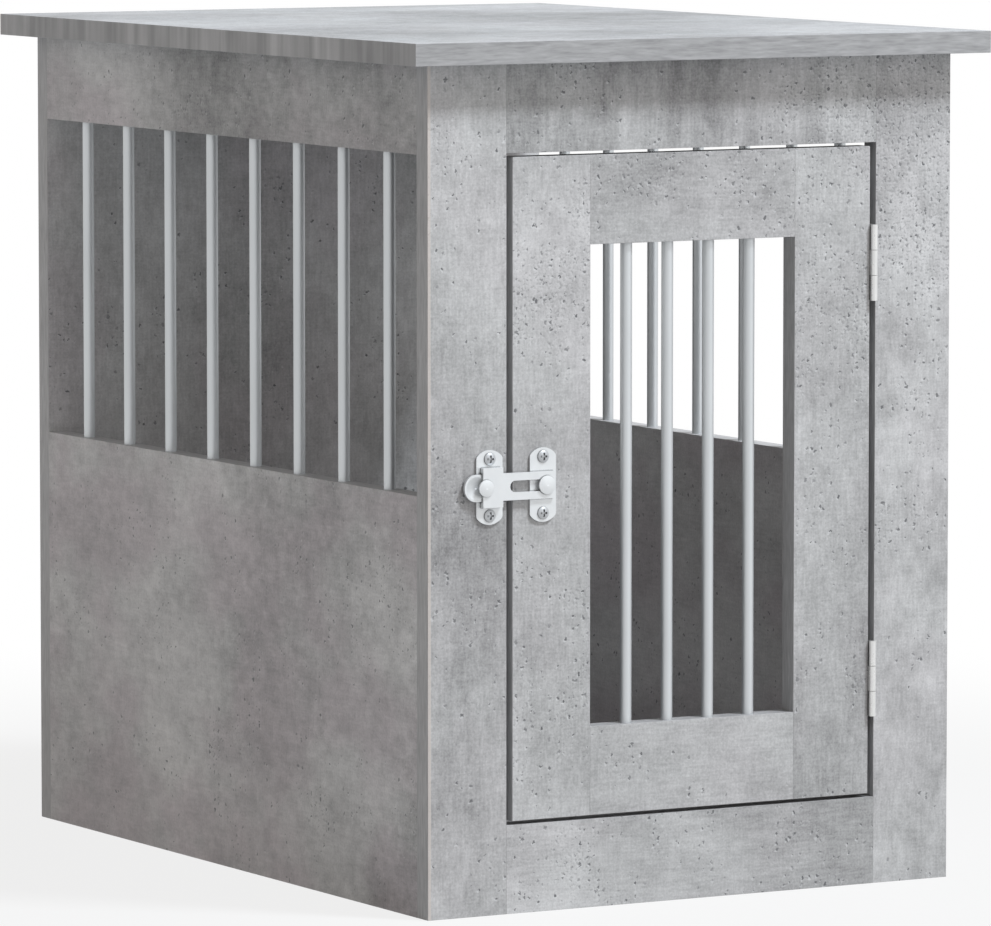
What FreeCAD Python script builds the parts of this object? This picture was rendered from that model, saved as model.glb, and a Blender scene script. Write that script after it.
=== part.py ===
import FreeCAD, Part
import math
import os
from types import SimpleNamespace

import Sketcher

# Pet crate in the form of a side table: a board carcass with barred sides, a barred door
# on two butt hinges, and a sliding fork latch.
# Frame: origin on the floor under the middle of the tabletop, +X to the right as seen from
# the front, +Y towards the back, +Z up. The door is on the -Y side.

V = FreeCAD.Vector
doc = FreeCAD.newDocument("PetCrate")

# Driving dimensions in millimetres, with what each one sets.
SIZES = {
    "overall_width": (450, "tabletop, left to right"),
    "overall_depth": (620, "tabletop, front to back"),
    "overall_height": (585, "floor to the tabletop's upper face"),
    "overhang": (20, "tabletop past the carcass, all round"),
    "top_thickness": (15, "tabletop board"),
    "board_thickness": (15, "carcass and door boards"),
    "edge_round": (0.2, "eased edges of the boards"),
    "stile_width": (60, "front stiles"),
    "header_height": (60, "rail over the doorway"),
    "sill_height": (60, "rail under the doorway"),
    "side_rail_height": (60, "top rail of each side"),
    "side_panel_height": (283, "lower panel of each side"),
    "floor_lift": (20, "floor panel's underside above the ground"),
    "bar_diameter": (8, "round bars"),
    "bar_seat": (10, "depth of a bar's blind hole"),
    "bar_end_play": (0.6, "free length of a bar between its two holes"),
    "side_bar_margin": (51, "end bars of a side from the ends of its opening"),
    "door_side_gap": (4.7, "door to stile, on each side"),
    "door_end_gap": (2.6, "door to header and to sill"),
    "door_stile_width": (60, "upright boards of the door"),
    "door_rail_height": (60, "cross boards of the door"),
    "fit_clearance": (0.1, "radial play of a bar, dowel, bolt or screw in its hole"),
    "hole_relief": (0.5, "hole deeper than what it holds"),
    "dowel_diameter": (8, "wooden dowels"),
    "dowel_length": (30, "wooden dowels"),
    "dowel_spacing": (30, "pair of dowels in a rail's end"),
    "dowel_face_seat": (10, "dowel's depth in a board's face"),
    "cam_diameter": (15, "cam locks"),
    "cam_depth": (12, "cam locks"),
    "cam_inset": (34, "cam's centre from the board's end"),
    "cam_slot_width": (1.4, "screwdriver cross in a cam"),
    "cam_slot_length": (9, "screwdriver cross in a cam"),
    "cam_slot_depth": (2, "screwdriver cross in a cam"),
    "bolt_diameter": (6, "shank of a cam bolt"),
    "bolt_head_diameter": (7, "head of a cam bolt"),
    "bolt_head_length": (3.5, "head of a cam bolt"),
    "bolt_thread_diameter": (5, "thread of a cam bolt"),
    "bolt_thread_length": (10.5, "thread of a cam bolt"),
    "rail_fitting_offset": (13, "side rail's bolt and dowel from its middle"),
    "panel_fitting_offset": (75, "side panel's bolts from its middle"),
    "top_fitting_offset": (128, "tabletop's bolts from the middle"),
    "floor_fitting_offset": (180, "floor panel's bolts from the middle"),
    "hinge_length": (52, "leaves and barrel"),
    "hinge_inset": (53.5, "hinge from the door's end"),
    "hinge_leaf_thickness": (1, "both leaves"),
    "hinge_leaf_depth": (12.5, "leaf along the board's edge"),
    "hinge_leaf_setback": (0.6, "leaf behind the front face"),
    "hinge_barrel_diameter": (5, "knuckles"),
    "hinge_axis_proud": (2, "pin's axis in front of the front face"),
    "hinge_pin_diameter": (2.4, "pin"),
    "hinge_knuckle_gap": (0.3, "knuckle to knuckle"),
    "hinge_screw_spacing": (32, "pair of screws in a leaf"),
    "hinge_screw_diameter": (3, "countersunk screws"),
    "hinge_screw_head": (5, "countersunk screws"),
    "hinge_screw_length": (14, "countersunk screws"),
    "latch_height": (288, "latch's centre line above the ground"),
    "latch_plate_width": (20, "both plates"),
    "latch_plate_length": (50, "both plates"),
    "latch_plate_thickness": (1.5, "both plates"),
    "latch_plate_end_radius": (12.5, "bowed ends of the plates"),
    "latch_plate_corner_radius": (3, "corners of the plates"),
    "latch_frame_inset": (13.8, "frame plate's middle from the doorway"),
    "latch_door_inset": (22.5, "door plate's middle from the door's edge"),
    "latch_screw_spacing": (38, "pair of screws in a plate"),
    "latch_screw_diameter": (3.5, "pan head screws"),
    "latch_screw_length": (12, "pan head screws"),
    "latch_screw_head": (8.2, "pan head screws"),
    "latch_screw_head_height": (1.9, "pan head screws"),
    "latch_screw_rim": (0.8, "straight rim of a pan head"),
    "latch_recess_width": (1.4, "cross recess of a pan head"),
    "latch_recess_length": (5, "cross recess of a pan head"),
    "latch_recess_depth": (1.1, "cross recess of a pan head"),
    "latch_bar_height": (18.3, "sliding bar"),
    "latch_bar_thickness": (2, "sliding bar"),
    "latch_running_gap": (0.3, "bar to plate, to bridge and to stud head"),
    "latch_tail_reach": (20.2, "bar's tail from the frame plate's middle"),
    "latch_fork_reach": (8, "bar's fork past the door plate's middle"),
    "latch_slot_width": (7.8, "slot of the fork"),
    "latch_slot_length": (26.4, "slot's end from the door plate's middle"),
    "latch_rim_width": (1.4, "rim round the dished tail"),
    "latch_dish_depth": (1.3, "dished tail"),
    "latch_bridge_width": (15.2, "bridge along the bar"),
    "latch_bridge_offset": (0.65, "bridge's middle from the plate's, towards the door"),
    "latch_bridge_strap": (1.5, "bridge in front of the bar"),
    "latch_bridge_leg": (3.7, "bridge above and below the bar"),
    "latch_side_play": (0.5, "bar to each leg of the bridge"),
    "latch_knob_diameter": (11.2, "knob on the bar"),
    "latch_knob_neck": (3, "knob's neck"),
    "latch_knob_inset": (1.9, "knob's middle from the bridge's edge, with the latch shut"),
    "latch_knob_gap": (0.4, "knob's neck to the bridge's notch"),
    "latch_stud_diameter": (12.4, "stud on the door plate"),
    "latch_stud_offset": (1.5, "stud's middle from the door plate's, away from the frame"),
    "latch_stud_neck": (6, "stud's neck"),
    "latch_rivet_diameter": (4, "riveted foot of the stud"),
    "latch_head_rim": (1.1, "straight rim of the knob's and stud's heads"),
    "latch_head_dome": (0.6, "dome of the knob's and stud's heads"),
}
SIDE_BARS = 8
DOOR_BARS = 4

sheet = doc.addObject("Spreadsheet::Sheet", "Sizes")
for row, (alias, (value, note)) in enumerate(SIZES.items(), start=1):
    sheet.set(f"A{row}", alias)
    sheet.set(f"B{row}", str(value))
    sheet.set(f"C{row}", note)
    sheet.setAlias(f"B{row}", alias)


class Size:
    """A length: the formula that ties it to the sheet, and its value as a first guess."""

    def __init__(self, formula, value):
        self.formula, self.value = formula, value

    def joined(self, sign, other, value):
        return Size(f"({self.formula} {sign} {other.formula})", value)

    def __add__(self, other):
        other = sized(other)
        return self.joined("+", other, self.value + other.value)

    def __sub__(self, other):
        other = sized(other)
        return self.joined("-", other, self.value - other.value)

    def __mul__(self, other):
        other = sized(other)
        return self.joined("*", other, self.value * other.value)

    def __truediv__(self, other):
        other = sized(other)
        return self.joined("/", other, self.value / other.value)

    def __neg__(self):
        return Size(f"(-{self.formula})", -self.value)

    __radd__ = __add__
    __rmul__ = __mul__


def sized(number):
    return number if isinstance(number, Size) else Size(repr(number), number)


def root(size):
    return Size(f"sqrt({size.formula})", math.sqrt(size.value))


s = SimpleNamespace(**{alias: Size(f"Sizes.{alias}", value) for alias, (value, note) in SIZES.items()})

# Sizes and places that several pieces share.
body_width = s.overall_width - 2 * s.overhang
body_depth = s.overall_depth - 2 * s.overhang
body_height = s.overall_height - s.top_thickness
inner_width = body_width - 2 * s.board_thickness
inner_depth = body_depth - 2 * s.board_thickness
front_face = -body_depth / 2
front_middle = -(body_depth - s.board_thickness) / 2
back_middle = (body_depth - s.board_thickness) / 2
side_middle = (body_width - s.board_thickness) / 2
stile_middle = (body_width - s.stile_width) / 2
rail_middle = body_height - s.side_rail_height / 2
panel_middle = s.side_panel_height / 2
header_middle = body_height - s.header_height / 2
sill_middle = s.sill_height / 2
floor_middle = s.floor_lift + s.board_thickness / 2
doorway_width = body_width - 2 * s.stile_width
doorway_height = body_height - s.header_height - s.sill_height
door_width = doorway_width - 2 * s.door_side_gap
door_height = doorway_height - 2 * s.door_end_gap
door_bottom = s.sill_height + s.door_end_gap
door_middle = door_bottom + door_height / 2
window_width = door_width - 2 * s.door_stile_width
window_height = door_height - 2 * s.door_rail_height
door_stile_middle = (door_width - s.door_stile_width) / 2
door_rail_offset = (door_height - s.door_rail_height) / 2

nodes = []


def node(shape, label):
    """Name a finished sub-part, so that it is written to its own file."""
    shape.Label = label
    nodes.append(shape)
    return shape


def bind(feature, prop, size):
    feature.setExpression(prop, sized(size).formula)


def place(feature, at, rotation=FreeCAD.Rotation()):
    """Tie a feature's position to the sheet; its rotation is fixed."""
    feature.Placement = FreeCAD.Placement(V(*(sized(p).value for p in at)), rotation)
    for axis, position in zip("xyz", at):
        bind(feature, f"Placement.Base.{axis}", position)


def turn(direction):
    """Rotation that brings a piece's own +Z to a direction."""
    return FreeCAD.Rotation(V(0, 0, 1), V(*direction))


def new_body(name, at, rotation=FreeCAD.Rotation()):
    body = doc.addObject("PartDesign::Body", name)
    place(body, at, rotation)
    return body


def new_sketch(body, plane, offset=(0, 0, 0)):
    """Sketch on one of the body's own planes, moved by offset in the plane's axes."""
    sketch = body.newObject("Sketcher::SketchObject", "Sketch")
    origin = next(f for f in body.Origin.OriginFeatures if f.Role == plane + "_Plane")
    sketch.AttachmentSupport = [(origin, "")]
    sketch.MapMode = "FlatFace"
    for axis, distance in zip("xyz", offset):
        bind(sketch, f"AttachmentOffset.Base.{axis}", distance)
    return sketch


def fix_point(sketch, geometry, point, at):
    """Hold a point of a sketch at its two coordinates."""
    for kind, position in zip(("DistanceX", "DistanceY"), at):
        position = sized(position)
        held = sketch.addConstraint(Sketcher.Constraint(kind, -1, 1, geometry, point, position.value))
        bind(sketch, f"Constraints[{held}]", position)


def draw_circle(sketch, centre, diameter):
    at = V(*(sized(c).value for c in centre), 0)
    circle = sketch.addGeometry(Part.Circle(at, V(0, 0, 1), diameter.value / 2))
    fix_point(sketch, circle, 3, centre)
    held = sketch.addConstraint(Sketcher.Constraint("Diameter", circle, diameter.value))
    bind(sketch, f"Constraints[{held}]", diameter)


def draw_outline(sketch, points, arcs=None):
    """Closed outline through points, anticlockwise; arcs gives the radius of bulging edges."""
    arcs = arcs or {}
    spots = [V(sized(u).value, sized(v).value, 0) for u, v in points]
    count = len(spots)
    edges = []
    for i, start in enumerate(spots):
        end = spots[(i + 1) % count]
        if i in arcs:
            chord = end - start
            inward = V(-chord.y, chord.x, 0).normalize()
            drop = math.sqrt(arcs[i].value ** 2 - (chord.Length / 2) ** 2)
            centre = (start + end) / 2 + inward * drop
            angles = [math.atan2(p.y - centre.y, p.x - centre.x) for p in (start, end)]
            circle = Part.Circle(centre, V(0, 0, 1), arcs[i].value)
            edges.append(sketch.addGeometry(Part.ArcOfCircle(circle, *angles)))
        else:
            edges.append(sketch.addGeometry(Part.LineSegment(start, end)))
    for i in range(count):
        sketch.addConstraint(Sketcher.Constraint("Coincident", edges[i - 1], 2, edges[i], 1))
    for edge, point in zip(edges, points):
        fix_point(sketch, edge, 1, point)
    for i, radius in arcs.items():
        held = sketch.addConstraint(Sketcher.Constraint("Radius", edges[i], radius.value))
        bind(sketch, f"Constraints[{held}]", radius)


def rectangle(left, bottom, right, top):
    return [(left, bottom), (right, bottom), (right, top), (left, top)]


def cross(width, length):
    """Outline of a plus sign about the origin."""
    w, r = width / 2, length / 2
    return [(w, -r), (w, -w), (r, -w), (r, w), (w, w), (w, r),
            (-w, r), (-w, w), (-r, w), (-r, -w), (-w, -w), (-w, -r)]


def sweep_sketch(body, kind, sketch, length, side="One side", reverse=False):
    """Pad or Pocket of a sketch, over a length."""
    feature = body.newObject("PartDesign::" + kind, kind)
    feature.Profile = sketch
    feature.SideType = side
    feature.Reversed = reverse
    bind(feature, "Length", length)
    return feature


def revolve_sketch(body, kind, sketch):
    feature = body.newObject("PartDesign::" + kind, kind)
    feature.Profile = sketch
    feature.ReferenceAxis = (sketch, ["V_Axis"])
    feature.Angle = 360
    return feature


def turned(name, points, at=(0, 0, 0), rotation=FreeCAD.Rotation(), arcs=None):
    """Round piece about its own Z axis, from its half profile (radius, height)."""
    body = new_body(name, at, rotation)
    sketch = new_sketch(body, "XZ")
    draw_outline(sketch, points, arcs)
    revolve_sketch(body, "Revolution", sketch)
    return body


def dome_radius(half_width, rise):
    return (half_width * half_width + rise * rise) / (2 * rise)


def group(label, copies):
    """Identical fasteners as one sub-part of separate solids."""
    compound = doc.addObject("Part::Compound", label)
    compound.Links = copies
    return node(compound, label)


def copy_of(master, at, rotation=FreeCAD.Rotation()):
    link = doc.addObject("App::Link", master.Name + "Copy")
    link.LinkedObject = master
    place(link, at, rotation)
    return link


def board(label, size, centre):
    """Rectangular board with eased edges, about its own middle."""
    body = new_body(label, centre)
    half = tuple(length / 2 for length in size)
    sketch = new_sketch(body, "XY")
    draw_outline(sketch, rectangle(-half[0], -half[1], half[0], half[1]))
    pad = sweep_sketch(body, "Pad", sketch, size[2], side="Symmetric")
    eased = body.newObject("PartDesign::Fillet", "EasedEdges")
    eased.Base = (pad, [f"Edge{i}" for i in range(1, 13)])
    bind(eased, "Radius", s.edge_round)
    node(body, label)
    return SimpleNamespace(body=body, half=half, centre=centre)


# A face of a block: the plane to sketch on, the two axes in it, the sign of the plane's
# offset, and whether the drill runs along the plane's normal.
FACES = {
    "+x": ("YZ", (1, 2), 1, False),
    "-x": ("YZ", (1, 2), -1, True),
    "+y": ("XZ", (0, 2), -1, True),
    "-y": ("XZ", (0, 2), 1, False),
    "+z": ("XY", (0, 1), 1, False),
    "-z": ("XY", (0, 1), -1, True),
}
OUTWARD = {
    "+x": (1, 0, 0), "-x": (-1, 0, 0),
    "+y": (0, 1, 0), "-y": (0, -1, 0),
    "+z": (0, 0, 1), "-z": (0, 0, -1),
}
OPPOSITE = {"+x": "-x", "-x": "+x", "+y": "-y", "-y": "+y", "+z": "-z", "-z": "+z"}
drillings = {}


def drill(block, face, at, diameter, depth):
    """Note a round hole into a block's face; at is a point on the hole's axis."""
    key = (block.body.Name, face, diameter.formula, depth.formula)
    drillings.setdefault(key, (block, face, diameter, depth, []))[-1].append(at)


def cut_holes():
    """Cut the noted holes, those of one kind in one face together."""
    for block, face, diameter, depth, places in drillings.values():
        plane, axes, sign, along = FACES[face]
        normal_axis = 3 - sum(axes)
        sketch = new_sketch(block.body, plane, (0, 0, sign * block.half[normal_axis]))
        for at in places:
            draw_circle(sketch, [sized(at[a]) - block.centre[a] for a in axes], diameter)
        sweep_sketch(block.body, "Pocket", sketch, depth, reverse=along)


def shifted(at, direction, distance):
    """Point at a distance from another along a row axis."""
    return tuple(sized(p) + d * distance if d else p for p, d in zip(at, direction))


# Carcass boards.
tabletop = board("tabletop", (s.overall_width, s.overall_depth, s.top_thickness),
                 (0, 0, body_height + s.top_thickness / 2))
back_panel = board("back_panel", (body_width, s.board_thickness, body_height),
                   (0, back_middle, body_height / 2))
floor_panel = board("floor_panel", (inner_width, inner_depth, s.board_thickness), (0, 0, floor_middle))
header = board("front_header_rail", (doorway_width, s.board_thickness, s.header_height),
               (0, front_middle, header_middle))
sill = board("front_sill_rail", (doorway_width, s.board_thickness, s.sill_height),
             (0, front_middle, sill_middle))
SIDES = {"left": -1, "right": 1}
stiles, side_rails, side_panels = {}, {}, {}
for side, sign in SIDES.items():
    stiles[side] = board(f"front_{side}_stile", (s.stile_width, s.board_thickness, body_height),
                         (sign * stile_middle, front_middle, body_height / 2))
    side_rails[side] = board(f"{side}_top_rail", (s.board_thickness, inner_depth, s.side_rail_height),
                             (sign * side_middle, 0, rail_middle))
    side_panels[side] = board(f"{side}_lower_panel", (s.board_thickness, inner_depth, s.side_panel_height),
                              (sign * side_middle, 0, panel_middle))

# Door boards.
door_stiles = {}
for name, sign in (("latch", -1), ("hinge", 1)):
    door_stiles[name] = board(f"door_{name}_stile", (s.door_stile_width, s.board_thickness, door_height),
                              (sign * door_stile_middle, front_middle, door_middle))
door_rails = {}
for name, sign in (("bottom", -1), ("top", 1)):
    door_rails[name] = board(f"door_{name}_rail", (window_width, s.board_thickness, s.door_rail_height),
                             (0, front_middle, door_middle + sign * door_rail_offset))


# Bars: each stands in a blind hole of the board below and reaches into one of the board above.
def bar(label, x, y, lower, upper, opening):
    seat_bottom = lower.centre[2] + lower.half[2] - s.bar_seat
    rod = doc.addObject("Part::Cylinder", label)
    bind(rod, "Radius", s.bar_diameter / 2)
    bind(rod, "Height", opening + 2 * s.bar_seat - s.bar_end_play)
    place(rod, (x, y, seat_bottom))
    hole = s.bar_diameter + 2 * s.fit_clearance
    drill(lower, "+z", (x, y, 0), hole, s.bar_seat)
    drill(upper, "-z", (x, y, 0), hole, s.bar_seat)
    node(rod, label)


side_opening = body_height - s.side_rail_height - s.side_panel_height
side_bar_pitch = (inner_depth - 2 * s.side_bar_margin) / (SIDE_BARS - 1)
door_bar_pitch = window_width / (DOOR_BARS + 1)
for side, sign in SIDES.items():
    for i in range(SIDE_BARS):
        bar(f"{side}_bar_{i + 1}", sign * side_middle, (i - (SIDE_BARS - 1) / 2) * side_bar_pitch,
            side_panels[side], side_rails[side], side_opening)
for i in range(DOOR_BARS):
    bar(f"door_bar_{i + 1}", (i - (DOOR_BARS - 1) / 2) * door_bar_pitch, front_middle,
        door_rails["bottom"], door_rails["top"], window_height)

# Dowels: half of each in either board, or less where it enters a board's face.
dowel = turned("Dowel", rectangle(0, -s.dowel_length / 2, s.dowel_diameter / 2, s.dowel_length / 2))


def dowel_joint(joined, end, receiver, at, seat):
    """Dowel from a board's end into a receiver, at a point between them; seat is its depth there."""
    for block, face, depth in ((joined, end, s.dowel_length - seat), (receiver, OPPOSITE[end], seat)):
        drill(block, face, at, s.dowel_diameter + 2 * s.fit_clearance, depth + s.hole_relief)
    middle = shifted(at, OUTWARD[OPPOSITE[end]], s.dowel_length / 2 - seat)
    return copy_of(dowel, middle, turn(OUTWARD[end]))


frame_dowels, door_dowels, carcass_dowels = [], [], []
for side, sign in SIDES.items():
    outer = "+x" if sign > 0 else "-x"
    for step in (-1, 1):
        rise = step * s.dowel_spacing / 2
        for rail in (header, sill):
            at = (sign * doorway_width / 2, front_middle, rail.centre[2] + rise)
            frame_dowels.append(dowel_joint(rail, outer, stiles[side], at, s.dowel_length / 2))
        for rail in door_rails.values():
            at = (sign * window_width / 2, front_middle, rail.centre[2] + rise)
            upright = door_stiles["hinge" if sign > 0 else "latch"]
            door_dowels.append(dowel_joint(rail, outer, upright, at, s.dowel_length / 2))
    for end, receiver, step in (("-y", stiles[side], -1), ("+y", back_panel, 1)):
        for joined, height in ((side_rails[side], rail_middle - s.rail_fitting_offset),
                               (side_panels[side], panel_middle)):
            at = (sign * side_middle, step * inner_depth / 2, height)
            carcass_dowels.append(dowel_joint(joined, end, receiver, at, s.dowel_face_seat))
    at = (sign * inner_width / 2, 0, floor_middle)
    carcass_dowels.append(dowel_joint(floor_panel, outer, side_panels[side], at, s.dowel_face_seat))

# Cam fittings: a bolt screwed into one board reaches into a cam lock in the other.
# The bolt's own origin is where the two boards meet, with its thread below.
bolt_tip = s.cam_inset + s.bolt_head_length / 2
bolt_neck = s.cam_inset - s.bolt_head_length / 2
cam_bolt = turned("CamBolt", [
    (0, -s.bolt_thread_length), (s.bolt_thread_diameter / 2, -s.bolt_thread_length),
    (s.bolt_thread_diameter / 2, 0), (s.bolt_diameter / 2, 0), (s.bolt_diameter / 2, bolt_neck),
    (s.bolt_head_diameter / 2, bolt_neck), (s.bolt_head_diameter / 2, bolt_tip), (0, bolt_tip)])
# The cam's own +Z points out of the board's face, and its bolt comes in along -X.
cam_lock = new_body("CamLock", (0, 0, 0))
cam_disc = new_sketch(cam_lock, "XY")
draw_circle(cam_disc, (0, 0), s.cam_diameter)
sweep_sketch(cam_lock, "Pad", cam_disc, s.cam_depth, reverse=True)
bolt_bore = s.bolt_head_diameter + 4 * s.fit_clearance
cam_mouth = new_sketch(cam_lock, "YZ", (0, 0, -s.cam_diameter))
draw_circle(cam_mouth, (0, -s.board_thickness / 2), bolt_bore)
sweep_sketch(cam_lock, "Pocket", cam_mouth, s.cam_diameter + s.bolt_head_length, reverse=True)
cam_cross = new_sketch(cam_lock, "XY")
draw_outline(cam_cross, cross(s.cam_slot_width, s.cam_slot_length))
sweep_sketch(cam_lock, "Pocket", cam_cross, s.cam_slot_depth)

bolts, cams = [], []


def cam_fitting(joined, end, cam_face, receiver, at):
    """Draw a board's end against a receiver; the cam lies in one of the joined board's faces."""
    drill(receiver, OPPOSITE[end], at, s.bolt_thread_diameter + 2 * s.fit_clearance,
          s.bolt_thread_length + s.hole_relief)
    drill(joined, end, at, bolt_bore, s.cam_inset)
    inward = OUTWARD[OPPOSITE[end]]
    centre = shifted(at, inward, s.cam_inset)
    drill(joined, cam_face, centre, s.cam_diameter + 2 * s.fit_clearance, s.cam_depth + s.fit_clearance)
    bolts.append(copy_of(cam_bolt, at, turn(inward)))
    seat = shifted(centre, OUTWARD[cam_face], s.board_thickness / 2)
    x_axis, z_axis = V(*inward), V(*OUTWARD[cam_face])
    cams.append(copy_of(cam_lock, seat, FreeCAD.Rotation(x_axis, z_axis.cross(x_axis), z_axis, "ZXY")))


for side, sign in SIDES.items():
    inner = "-x" if sign > 0 else "+x"
    for end, receiver, step in (("-y", stiles[side], -1), ("+y", back_panel, 1)):
        plane = step * inner_depth / 2
        cam_fitting(side_rails[side], end, inner, receiver,
                    (sign * side_middle, plane, rail_middle + s.rail_fitting_offset))
        for rise in (-s.panel_fitting_offset, s.panel_fitting_offset):
            cam_fitting(side_panels[side], end, inner, receiver,
                        (sign * side_middle, plane, panel_middle + rise))
    for step in (-1, 1):
        cam_fitting(side_rails[side], "+z", inner, tabletop,
                    (sign * side_middle, step * s.top_fitting_offset, body_height))
        cam_fitting(floor_panel, OPPOSITE[inner], "-z", side_panels[side],
                    (sign * inner_width / 2, step * s.floor_fitting_offset, floor_middle))

group("frame_dowels", frame_dowels)
group("door_dowels", door_dowels)
group("carcass_dowels", carcass_dowels)
group("cam_bolts", bolts)
group("cam_locks", cams)

# Butt hinges. Each leaf is drawn about the pin: +Y runs back along the board's edge.
hinge_x = (doorway_width - s.door_side_gap) / 2
hinge_y = front_face - s.hinge_axis_proud
hinge_heights = {"lower": door_bottom + s.hinge_inset + s.hinge_length / 2,
                 "upper": door_bottom + door_height - s.hinge_inset - s.hinge_length / 2}
leaf_front = s.hinge_axis_proud + s.hinge_leaf_setback
leaf_back = leaf_front + s.hinge_leaf_depth
screw_row = hinge_y + leaf_front + s.hinge_leaf_depth / 2
middle_knuckle = s.hinge_length / 3 - s.hinge_knuckle_gap
middle_cutout = s.hinge_length / 3 + s.hinge_knuckle_gap
pin_bore = s.hinge_pin_diameter + 2 * s.fit_clearance
barrel = s.hinge_barrel_diameter

# Countersunk screw: its own +Z is the way it is driven, from the leaf's face.
hinge_screw = turned("HingeScrew", [
    (0, 0), (s.hinge_screw_head / 2, 0), (s.hinge_screw_diameter / 2, s.hinge_leaf_thickness),
    (s.hinge_screw_diameter / 2, s.hinge_screw_length - s.hinge_screw_diameter), (0, s.hinge_screw_length)])


def hinge_leaf(label, sign, height, knuckle):
    """Leaf on the frame's side (+1) or the door's side (-1); knuckle is its padded length."""
    body = new_body(label, (hinge_x, hinge_y, height))
    outer = sign * s.door_side_gap / 2
    inner = outer - sign * s.hinge_leaf_thickness
    left, right = (inner, outer) if sign > 0 else (outer, inner)
    plate = new_sketch(body, "XY")
    draw_outline(plate, rectangle(left, leaf_front, right, leaf_back))
    sweep_sketch(body, "Pad", plate, s.hinge_length, side="Symmetric")
    web = new_sketch(body, "XY")
    draw_outline(web, rectangle(left, 0, right, leaf_front))
    sweep_sketch(body, "Pad", web, knuckle, side="Symmetric")
    roll = new_sketch(body, "XY")
    draw_circle(roll, (0, 0), barrel)
    sweep_sketch(body, "Pad", roll, knuckle, side="Symmetric")
    if sign > 0:
        room = new_sketch(body, "XY")
        draw_outline(room, rectangle(-barrel, -barrel, barrel, leaf_front))
        sweep_sketch(body, "Pocket", room, middle_cutout, side="Symmetric")
    bore = new_sketch(body, "XY")
    draw_circle(bore, (0, 0), pin_bore)
    sweep_sketch(body, "Pocket", bore, s.hinge_length + barrel, side="Symmetric")
    # Countersinks, wide at the face that looks across the gap.
    for step in (-1, 1):
        sink = body.newObject("PartDesign::SubtractiveCone", "Countersink")
        middle = leaf_front + s.hinge_leaf_depth / 2
        place(sink, (inner, middle, step * s.hinge_screw_spacing / 2), turn((sign, 0, 0)))
        bind(sink, "Radius1", s.hinge_screw_head / 2 + s.fit_clearance)
        bind(sink, "Radius2", s.hinge_screw_diameter / 2 + s.fit_clearance)
        bind(sink, "Height", s.hinge_leaf_thickness)
    node(body, label)


hinge_screws = {1: [], -1: []}
for position, height in hinge_heights.items():
    hinge_leaf(f"{position}_hinge_frame_leaf", 1, height, s.hinge_length)
    hinge_leaf(f"{position}_hinge_door_leaf", -1, height, middle_knuckle)
    pin = doc.addObject("Part::Cylinder", f"{position}_hinge_pin")
    bind(pin, "Radius", s.hinge_pin_diameter / 2)
    bind(pin, "Height", s.hinge_length)
    place(pin, (hinge_x, hinge_y, height - s.hinge_length / 2))
    node(pin, f"{position}_hinge_pin")
    for sign, upright, face in ((1, stiles["right"], "-x"), (-1, door_stiles["hinge"], "+x")):
        face_x = hinge_x + sign * (s.door_side_gap / 2 - s.hinge_leaf_thickness)
        for step in (-1, 1):
            at = (face_x, screw_row, height + step * s.hinge_screw_spacing / 2)
            hinge_screws[sign].append(copy_of(hinge_screw, at, turn((sign, 0, 0))))
            drill(upright, face, at, s.hinge_screw_diameter + 2 * s.fit_clearance,
                  s.hinge_screw_length - s.hinge_leaf_thickness + s.hole_relief)
group("hinge_frame_screws", hinge_screws[1])
group("hinge_door_screws", hinge_screws[-1])

# Latch. Its layers are counted forward from the front face.
latch_frame_x = -doorway_width / 2 - s.latch_frame_inset
latch_door_x = -door_width / 2 + s.latch_door_inset
plate_front = front_face - s.latch_plate_thickness
bar_middle = plate_front - s.latch_running_gap - s.latch_bar_thickness / 2
bar_front = bar_middle - s.latch_bar_thickness / 2
bridge_room = s.latch_bar_thickness + 2 * s.latch_running_gap
bridge_depth = bridge_room + s.latch_bridge_strap


def latch_plate(label, x):
    """Upright plate with bowed ends and rounded corners."""
    centre = (x, front_face - s.latch_plate_thickness / 2, s.latch_height)
    body = new_body(label, centre)
    end, corner = s.latch_plate_end_radius, s.latch_plate_corner_radius
    wide, bow_middle = s.latch_plate_width / 2, s.latch_plate_length / 2 - end
    # A corner's middle stands this far to the side of, and beyond, the middle of the bowed end.
    aside = wide - corner
    beyond = root((end - corner) * (end - corner) - aside * aside)
    outward = end / (end - corner)
    straight = bow_middle + beyond
    met_x, met_z = aside * outward, bow_middle + beyond * outward
    sketch = new_sketch(body, "XZ")
    draw_outline(sketch, [
        (-met_x, -met_z), (met_x, -met_z), (wide, -straight), (wide, straight),
        (met_x, met_z), (-met_x, met_z), (-wide, straight), (-wide, -straight)],
        arcs={0: end, 4: end, 1: corner, 3: corner, 5: corner, 7: corner})
    sweep_sketch(body, "Pad", sketch, s.latch_plate_thickness, side="Symmetric")
    node(body, label)
    half = (wide, s.latch_plate_thickness / 2, s.latch_plate_length / 2)
    return SimpleNamespace(body=body, half=half, centre=centre)


frame_plate = latch_plate("latch_frame_plate", latch_frame_x)
door_plate = latch_plate("latch_door_plate", latch_door_x)

# Bridge over the bar, drawn from the plate's face towards the front (-Y).
bridge_x = latch_frame_x + s.latch_bridge_offset
bridge = new_body("latch_bridge", (bridge_x, plate_front, s.latch_height))
bridge_inside = s.latch_bar_height / 2 + s.latch_side_play
bridge_outside = bridge_inside + s.latch_bridge_leg
arch = new_sketch(bridge, "YZ")
draw_outline(arch, [
    (0, -bridge_outside), (0, -bridge_inside),
    (-bridge_room, -bridge_inside), (-bridge_room, bridge_inside),
    (0, bridge_inside), (0, bridge_outside),
    (-bridge_depth, bridge_outside), (-bridge_depth, -bridge_outside)])
sweep_sketch(bridge, "Pad", arch, s.latch_bridge_width, side="Symmetric")
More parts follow.
